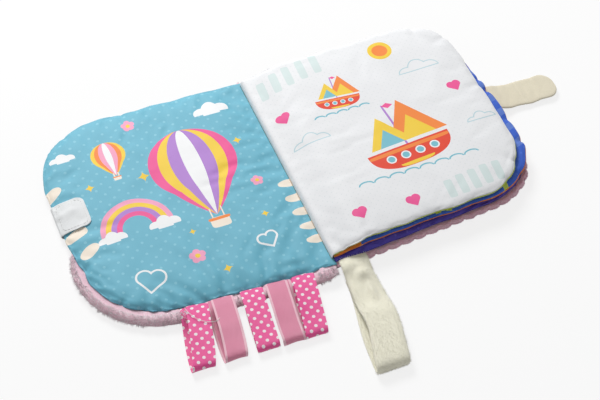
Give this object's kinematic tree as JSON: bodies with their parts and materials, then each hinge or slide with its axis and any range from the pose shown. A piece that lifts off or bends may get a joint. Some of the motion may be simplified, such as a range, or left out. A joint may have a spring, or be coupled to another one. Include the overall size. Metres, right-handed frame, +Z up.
{
  "type": "cloth book",
  "caption": "Soft crinkle cloth book lying open, with padded turning pages, ribbon loops, a fleece strap loop and a wrap-over closure tab.",
  "frame": {"origin": "middle of the back cover's flat underside, on the surface that the book lies on", "axes": "+X across the pages from the front cover to the closure tab, +Y up the pages, +Z up from the table"},
  "size_m": [0.4, 0.2953, 0.0214],
  "materials": {
    "dimple_plush": "soft pile",
    "wadding": "fibre",
    "crinkle_film": "crinkled clear film",
    "teal_print": "printed polyester",
    "purple_print": "printed polyester",
    "white_print": "printed polyester",
    "lime_print": "printed polyester",
    "blue_print": "printed polyester",
    "orange_print": "printed polyester",
    "hook_tape": "hook-and-loop tape",
    "dotted_ribbon": "satin",
    "plain_ribbon": "satin",
    "cream_fleece": "short fleece"
  },
  "bodies": {
    "back_cover": {"back_cover_plush": "dimple_plush", "back_cover_wadding": "wadding", "back_cover_crinkle_film": "crinkle_film", "back_cover_lining": "purple_print"},
    "front_cover": {"front_cover_plush": "dimple_plush", "front_cover_wadding": "wadding", "front_cover_crinkle_film": "crinkle_film", "front_cover_lining": "teal_print", "hook_patch": "hook_tape"},
    "spine_panel": {"spine_panel": "dimple_plush"},
    "leaf_b": {"leaf_b_front_cloth": "blue_print", "leaf_b_wadding": "wadding", "leaf_b_crinkle_film": "crinkle_film", "leaf_b_back_cloth": "orange_print"},
    "leaf_a": {"leaf_a_front_cloth": "white_print", "leaf_a_wadding": "wadding", "leaf_a_crinkle_film": "crinkle_film", "leaf_a_back_cloth": "lime_print"},
    "ribbon_loop_1": {"ribbon_loop_1": "dotted_ribbon"},
    "ribbon_loop_2": {"ribbon_loop_2": "plain_ribbon"},
    "ribbon_loop_3": {"ribbon_loop_3": "dotted_ribbon"},
    "ribbon_loop_4": {"ribbon_loop_4": "plain_ribbon"},
    "ribbon_loop_5": {"ribbon_loop_5": "dotted_ribbon"},
    "pram_strap": {"pram_strap": "cream_fleece", "pram_strap_hook_pad": "hook_tape", "pram_strap_loop_pad": "hook_tape"},
    "closure_tab_base": {"closure_tab_base": "cream_fleece"},
    "closure_tab_tip": {"closure_tab_tip": "cream_fleece"}
  },
  "joints": [
    {"name": "front_cover_fold", "type": "hinge", "parent": "back_cover", "child": "front_cover", "pos_m": [-0.088, 0, 0.01585], "axis": [0, 1, 0], "range_deg": [0, 179.8]},
    {"name": "spine_bend", "type": "hinge", "parent": "back_cover", "child": "spine_panel", "pos_m": [-0.088, 0, 0.01585], "axis": [0, 1, 0], "range_deg": [0, 89.9]},
    {"name": "leaf_b_turn", "type": "hinge", "parent": "back_cover", "child": "leaf_b", "pos_m": [-0.088, 0, 0.01585], "axis": [0, 1, 0], "range_deg": [-179.8, 0]},
    {"name": "leaf_a_turn", "type": "hinge", "parent": "leaf_b", "child": "leaf_a", "pos_m": [-0.088, 0, 0.01585], "axis": [0, 1, 0], "range_deg": [-179.8, 0]},
    {"name": "ribbon_loop_1_lift", "type": "hinge", "parent": "front_cover", "child": "ribbon_loop_1", "pos_m": [-0.1906, -0.09008, 0.0083], "axis": [1, 0, 0], "range_deg": [-90, 0]},
    {"name": "ribbon_loop_2_lift", "type": "hinge", "parent": "front_cover", "child": "ribbon_loop_2", "pos_m": [-0.1725, -0.09088, 0.0083], "axis": [1, 0, 0], "range_deg": [-90, 0]},
    {"name": "ribbon_loop_3_lift", "type": "hinge", "parent": "front_cover", "child": "ribbon_loop_3", "pos_m": [-0.1515, -0.09182, 0.0083], "axis": [1, 0, 0], "range_deg": [-90, 0]},
    {"name": "ribbon_loop_4_lift", "type": "hinge", "parent": "front_cover", "child": "ribbon_loop_4", "pos_m": [-0.133, -0.09265, 0.0083], "axis": [1, 0, 0], "range_deg": [-90, 0]},
    {"name": "ribbon_loop_5_lift", "type": "hinge", "parent": "front_cover", "child": "ribbon_loop_5", "pos_m": [-0.1133, -0.09353, 0.0083], "axis": [1, 0, 0], "range_deg": [-90, 0]},
    {"name": "pram_strap_lift", "type": "hinge", "parent": "back_cover", "child": "pram_strap", "pos_m": [-0.075, -0.09246, 0.0092], "axis": [1, 0, 0], "range_deg": [-90, 0]},
    {"name": "closure_tab_lift", "type": "hinge", "parent": "back_cover", "child": "closure_tab_base", "pos_m": [0.0845, 0.0095, 0.0083], "axis": [0, -1, 0], "range_deg": [0, 90]},
    {"name": "closure_tab_fold", "type": "hinge", "parent": "closure_tab_base", "child": "closure_tab_tip", "pos_m": [0.1089, 0.0095, 0.0041], "axis": [0, -1, 0], "range_deg": [0, 90]}
  ],
  "couplings": [
    {"joint": "spine_bend", "follows": "front_cover_fold", "ratio": 0.5}
  ]
}
